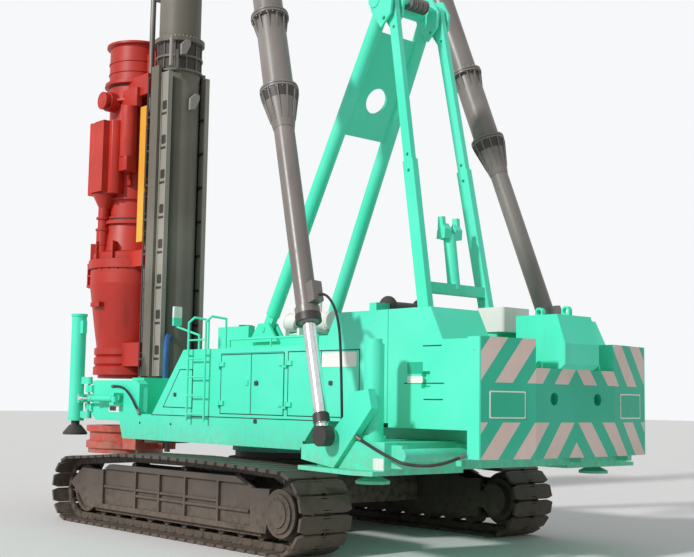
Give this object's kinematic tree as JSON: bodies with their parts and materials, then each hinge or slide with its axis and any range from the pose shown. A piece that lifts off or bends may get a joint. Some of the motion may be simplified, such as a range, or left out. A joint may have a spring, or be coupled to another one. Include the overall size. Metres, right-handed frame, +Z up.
{
  "type": "pile driver rig",
  "caption": "Tracked pile driver rig: slewing upper works, gantry, two hydraulic back stays and a tall leader that guides a diesel hammer and pile cap.",
  "frame": {"origin": "on the ground under the slewing axis", "axes": "+X forwards to the leader and hammer, +Y to the left, +Z up"},
  "size_m": [11.17, 5.1682, 26.23],
  "materials": {
    "green_paint": "semi-gloss mint green",
    "dark_steel": "dark greasy steel",
    "red_paint": "semi-gloss red",
    "leader_paint": "weathered grey-brown",
    "stay_steel": "dark grey gloss",
    "bright_rod": "polished",
    "track_steel": "dusty worn",
    "pale_paint": "satin",
    "window_glass": "clear",
    "seat_black": "matte",
    "worn_steel": "worn"
  },
  "bodies": {
    "undercarriage": {"track_left": "track_steel", "track_right": "track_steel", "track_frame_left": "track_steel", "track_frame_right": "track_steel", "track_wheels_left": "track_steel", "track_wheels_right": "track_steel", "carbody": "track_steel"},
    "upper": {"deck_frame": "green_paint", "front_bracket": "green_paint", "house_left": "green_paint", "house_right": "green_paint", "rear_modules": "green_paint", "counterweight": "green_paint", "gantry_base": "green_paint", "winch_shafts": "green_paint", "gantry_legs": "green_paint", "gantry_links": "green_paint", "muffler": "pale_paint", "steps_and_rails": "green_paint", "mirror": "green_paint", "engine": "dark_steel", "fuel_tank": "pale_paint", "rear_outrigger": "green_paint", "cab": "green_paint", "cab_glass": "window_glass", "cab_seat": "seat_black"},
    "leader": {"leader_lower": "leader_paint", "leader_upper": "leader_paint", "leader_guides": "leader_paint", "leader_fittings": "leader_paint", "leader_head": "leader_paint"},
    "door_left_front": {"door_left_front": "green_paint"},
    "door_left_middle": {"door_left_middle": "green_paint"},
    "door_left_rear": {"door_left_rear": "green_paint"},
    "door_right": {"door_right": "green_paint"},
    "cab_door": {"cab_door": "green_paint"},
    "winch_front": {"winch_front": "worn_steel"},
    "winch_rear": {"winch_rear": "dark_steel"},
    "gantry_sheaves": {"gantry_sheaves": "worn_steel"},
    "head_sheaves_rear": {"head_sheaves_rear": "worn_steel"},
    "head_sheaves_front": {"head_sheaves_front": "worn_steel"},
    "hammer": {"hammer": "red_paint"},
    "pile_cap": {"pile_cap": "red_paint"},
    "rear_jack_left": {"rear_jack_left": "dark_steel"},
    "front_arm_left": {"front_arm_left": "green_paint"},
    "front_jack_left": {"front_jack_left": "dark_steel"},
    "swing_barrel_left": {"swing_barrel_left": "green_paint"},
    "swing_rod_left": {"swing_rod_left": "bright_rod"},
    "stay_yoke_left": {"stay_yoke_left": "dark_steel"},
    "stay_tube_left": {"stay_tube_left": "stay_steel"},
    "stay_rod_left": {"stay_rod_left": "bright_rod"},
    "rear_jack_right": {"rear_jack_right": "dark_steel"},
    "front_arm_right": {"front_arm_right": "green_paint"},
    "front_jack_right": {"front_jack_right": "dark_steel"},
    "swing_barrel_right": {"swing_barrel_right": "green_paint"},
    "swing_rod_right": {"swing_rod_right": "bright_rod"},
    "stay_yoke_right": {"stay_yoke_right": "dark_steel"},
    "stay_tube_right": {"stay_tube_right": "stay_steel"},
    "stay_rod_right": {"stay_rod_right": "bright_rod"}
  },
  "joints": [
    {"name": "slew", "type": "hinge", "parent": "undercarriage", "child": "upper", "pos_m": [0, 0, 1.16], "axis": [0, 0, 1], "continuous": true},
    {"name": "leader_tilt", "type": "hinge", "parent": "upper", "child": "leader", "pos_m": [2.95, 0, 1.8], "axis": [0, 1, 0], "range_deg": [-10, 5]},
    {"name": "hammer_lift", "type": "slide", "parent": "leader", "child": "hammer", "axis": [0, 0, 1], "range_m": [0, 15]},
    {"name": "cap_lift", "type": "slide", "parent": "hammer", "child": "pile_cap", "axis": [0, 0, 1], "range_m": [0, 0.85]},
    {"name": "stay_lean_left", "type": "hinge", "parent": "leader", "child": "stay_yoke_left", "pos_m": [3.15, 0.6, 21.4], "axis": [0, 1, 0], "range_deg": [-0.7, 1.2]},
    {"name": "stay_splay_left", "type": "hinge", "parent": "stay_yoke_left", "child": "stay_tube_left", "pos_m": [3.15, 0.6, 21.4], "axis": [0.9465, 0, -0.3228], "range_deg": [-0.4, 0.4]},
    {"name": "stay_extend_left", "type": "slide", "parent": "stay_tube_left", "child": "stay_rod_left", "axis": [-0.3215, 0.0901, -0.9426], "range_m": [-1.1, 0.55]},
    {"name": "front_arm_left", "type": "hinge", "parent": "upper", "child": "front_arm_left", "pos_m": [3.42, 1.625, 1.9], "axis": [0, 0, 1], "range_deg": [-60, 30]},
    {"name": "front_jack_left", "type": "slide", "parent": "front_arm_left", "child": "front_jack_left", "axis": [0, 0, -1], "range_m": [0, 1.28]},
    {"name": "swing_pivot_left", "type": "hinge", "parent": "upper", "child": "swing_barrel_left", "pos_m": [2.42, 1.72, 1.9], "axis": [0, 0, 1], "range_deg": [-10, 10]},
    {"name": "swing_extend_left", "type": "slide", "parent": "swing_barrel_left", "child": "swing_rod_left", "axis": [0.9976, 0.0698, 0], "range_m": [-0.08, 0.16]},
    {"name": "rear_jack_left", "type": "slide", "parent": "upper", "child": "rear_jack_left", "axis": [0, 0, -1], "range_m": [0, 0.95]},
    {"name": "stay_lean_right", "type": "hinge", "parent": "leader", "child": "stay_yoke_right", "pos_m": [3.15, -0.6, 21.4], "axis": [0, 1, 0], "range_deg": [-0.7, 1.2]},
    {"name": "stay_splay_right", "type": "hinge", "parent": "stay_yoke_right", "child": "stay_tube_right", "pos_m": [3.15, -0.6, 21.4], "axis": [0.9465, 0, -0.3228], "range_deg": [-0.4, 0.4]},
    {"name": "stay_extend_right", "type": "slide", "parent": "stay_tube_right", "child": "stay_rod_right", "axis": [-0.3215, -0.0901, -0.9426], "range_m": [-1.1, 0.55]},
    {"name": "front_arm_right", "type": "hinge", "parent": "upper", "child": "front_arm_right", "pos_m": [3.42, -1.625, 1.9], "axis": [0, 0, -1], "range_deg": [-60, 30]},
    {"name": "front_jack_right", "type": "slide", "parent": "front_arm_right", "child": "front_jack_right", "axis": [0, 0, -1], "range_m": [0, 1.28]},
    {"name": "swing_pivot_right", "type": "hinge", "parent": "upper", "child": "swing_barrel_right", "pos_m": [2.42, -1.72, 1.9], "axis": [0, 0, -1], "range_deg": [-10, 10]},
    {"name": "swing_extend_right", "type": "slide", "parent": "swing_barrel_right", "child": "swing_rod_right", "axis": [0.9976, -0.0698, 0], "range_m": [-0.08, 0.16]},
    {"name": "rear_jack_right", "type": "slide", "parent": "upper", "child": "rear_jack_right", "axis": [0, 0, -1], "range_m": [0, 0.95]},
    {"name": "door_left_front", "type": "hinge", "parent": "upper", "child": "door_left_front", "pos_m": [-0.282, 1.622, 2.1], "axis": [0, 0, -1], "range_deg": [0, 90]},
    {"name": "door_left_middle", "type": "hinge", "parent": "upper", "child": "door_left_middle", "pos_m": [-1.748, 1.622, 2.1], "axis": [0, 0, 1], "range_deg": [0, 90]},
    {"name": "door_left_rear", "type": "hinge", "parent": "upper", "child": "door_left_rear", "pos_m": [-1.812, 1.622, 2.1], "axis": [0, 0, -1], "range_deg": [0, 90]},
    {"name": "door_right", "type": "hinge", "parent": "upper", "child": "door_right", "pos_m": [-1.748, -1.622, 2.1], "axis": [0, 0, -1], "range_deg": [0, 90]},
    {"name": "cab_door", "type": "hinge", "parent": "upper", "child": "cab_door", "pos_m": [1.968, -1.622, 2.1], "axis": [0, 0, 1], "range_deg": [0, 90]},
    {"name": "winch_front", "type": "hinge", "parent": "upper", "child": "winch_front", "pos_m": [0.3, 0, 2.18], "axis": [0, 1, 0], "continuous": true},
    {"name": "winch_rear", "type": "hinge", "parent": "upper", "child": "winch_rear", "pos_m": [-2.4, 0, 3.19], "axis": [0, 1, 0], "continuous": true},
    {"name": "gantry_sheaves", "type": "hinge", "parent": "upper", "child": "gantry_sheaves", "pos_m": [-2.57, 0, 7.56], "axis": [0, 1, 0], "continuous": true},
    {"name": "head_sheaves_rear", "type": "hinge", "parent": "leader", "child": "head_sheaves_rear", "pos_m": [3, 0, 26], "axis": [0, 1, 0], "continuous": true},
    {"name": "head_sheaves_front", "type": "hinge", "parent": "leader", "child": "head_sheaves_front", "pos_m": [4.68, 0, 26], "axis": [0, 1, 0], "continuous": true}
  ],
  "couplings": [
    {"joint": "stay_lean_left", "follows": "leader_tilt", "ratio": -0.105},
    {"joint": "stay_splay_left", "follows": "leader_tilt", "ratio": -0.03},
    {"joint": "stay_extend_left", "follows": "leader_tilt", "m_per_rad": 6.25},
    {"joint": "stay_lean_right", "follows": "leader_tilt", "ratio": -0.105},
    {"joint": "stay_splay_right", "follows": "leader_tilt", "ratio": 0.03},
    {"joint": "stay_extend_right", "follows": "leader_tilt", "m_per_rad": 6.25},
    {"joint": "swing_pivot_left", "follows": "front_arm_left", "ratio": 0.044},
    {"joint": "swing_extend_left", "follows": "front_arm_left", "m_per_rad": -0.136},
    {"joint": "swing_pivot_right", "follows": "front_arm_right", "ratio": 0.044},
    {"joint": "swing_extend_right", "follows": "front_arm_right", "m_per_rad": -0.136}
  ]
}
